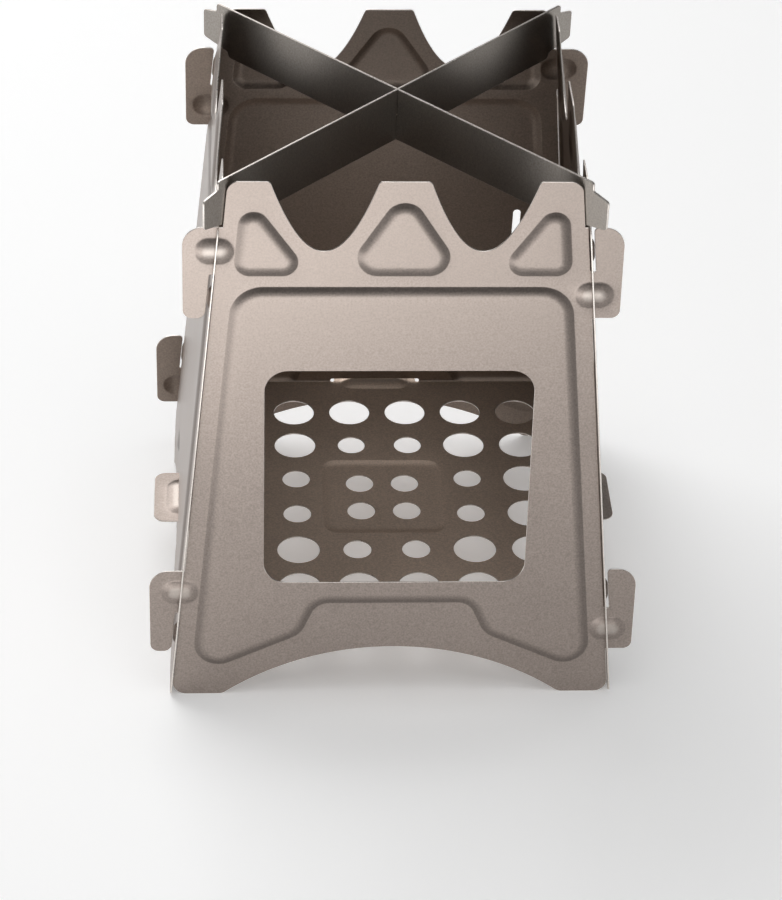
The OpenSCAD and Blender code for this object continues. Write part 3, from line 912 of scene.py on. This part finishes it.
def floor_plane():
    """The plain pale floor."""
    mesh = bpy.data.meshes.new("floor")
    corners = [(x, y, 0) for x, y, _ in box_points(2*FLOOR_HALF, 2*FLOOR_HALF, 0)]
    mesh.from_pydata(corners, [], [(0, 1, 2, 3)])
    floor = bpy.data.objects.new("floor", mesh)
    bpy.context.scene.collection.objects.link(floor)
    material = bpy.data.materials.new("pale_floor")
    material.use_nodes = True
    nodes = material.node_tree.nodes
    links = material.node_tree.links
    shader = nodes["Principled BSDF"]
    shader.inputs["Base Color"].default_value = (FLOOR_GREY, FLOOR_GREY, FLOOR_GREY, 1)
    shader.inputs["Roughness"].default_value = FLOOR_ROUGHNESS
    shader.inputs["Specular IOR Level"].default_value = FLOOR_SPECULAR
    shader.inputs["Emission Color"].default_value = (1, 1, 1, 1)
    rays = nodes.new("ShaderNodeLightPath").outputs
    seen = math_node(nodes, links, "MAXIMUM", rays["Is Camera Ray"], rays["Is Glossy Ray"])
    seen = math_node(nodes, links, "MAXIMUM", seen, rays["Is Transmission Ray"])
    glow = math_node(nodes, links, "MULTIPLY", seen, FLOOR_GLOW)
    links.new(glow, shader.inputs["Emission Strength"])
    mesh.materials.append(material)


def soft_box(name, at, target, width, height, power, spread=180):
    """A soft lamp aimed at a target, with sizes in metres, watts and a spread in degrees."""
    light = bpy.data.lights.new(name, "AREA")
    light.shape = "RECTANGLE"
    light.size = width
    light.size_y = height
    light.energy = power
    light.spread = math.radians(spread)
    lamp = bpy.data.objects.new(name, light)
    lamp.location = at
    lamp.rotation_mode = "QUATERNION"
    lamp.rotation_quaternion = (Vector(target) - Vector(at)).to_track_quat("-Z", "Y")
    bpy.context.scene.collection.objects.link(lamp)


def studio_world():
    """A pale horizon under a greyer room."""
    world = bpy.data.worlds.new("studio")
    bpy.context.scene.world = world
    world.use_nodes = True
    nodes = world.node_tree.nodes
    links = world.node_tree.links
    coords = nodes.new("ShaderNodeTexCoord")
    split = nodes.new("ShaderNodeSeparateXYZ")
    links.new(coords.outputs["Generated"], split.inputs["Vector"])
    ramp = nodes.new("ShaderNodeValToRGB")
    elements = ramp.color_ramp.elements
    for position, _ in ROOM_STOPS[1:-1]:
        elements.new(position)
    for element, (_, level) in zip(elements, ROOM_STOPS):
        element.color = (level, level, level, 1)
    links.new(split.outputs["Z"], ramp.inputs["Fac"])
    links.new(ramp.outputs["Color"], nodes["Background"].inputs["Color"])


def photo_camera():
    """Camera solved from the panels' corners in the photograph, for an image of 782 by 900."""
    image_h = 900
    focal_px = 3019.6
    yaw = 0.0683
    pitch = 0.6319
    roll = 0.0374
    place_m = (-0.05447, -0.82814, 0.65390)
    sensor_mm = 36
    near_m = 0.01
    data = bpy.data.cameras.new("photo_camera")
    data.sensor_width = sensor_mm
    data.lens = focal_px/image_h*data.sensor_width
    data.clip_start = near_m
    camera = bpy.data.objects.new("photo_camera", data)
    bpy.context.scene.collection.objects.link(camera)
    ahead = Vector((math.sin(yaw)*math.cos(pitch), math.cos(yaw)*math.cos(pitch), -math.sin(pitch)))
    level = Vector((math.cos(yaw), -math.sin(yaw), 0))
    up = level.cross(ahead)
    right = level*math.cos(roll) + up*math.sin(roll)
    top = up*math.cos(roll) - level*math.sin(roll)
    turned = Matrix((right, top, -ahead)).transposed().to_4x4()
    camera.matrix_world = Matrix.Translation(place_m) @ turned
    bpy.context.scene.camera = camera


floor_plane()
studio_world()
soft_box("back_box", at=(-0.8, 1.15, 1.25), target=STOVE_MIDDLE, width=1.8, height=1.2, power=20)
soft_box("top_box", at=(0, 0, 1.4), target=STOVE_MIDDLE, width=0.8, height=0.8, power=4.5)
soft_box("front_card", at=(-0.12, -0.34, 0.05), target=(-0.06, -0.22, 0.17), width=0.6, height=0.12,
         power=0.38, spread=140)
soft_box("edge_box", at=(0.1, -0.6, 1.25), target=STOVE_MIDDLE, width=0.9, height=0.35, power=1.2)
photo_camera()
bpy.context.scene.view_settings.view_transform = "Standard"
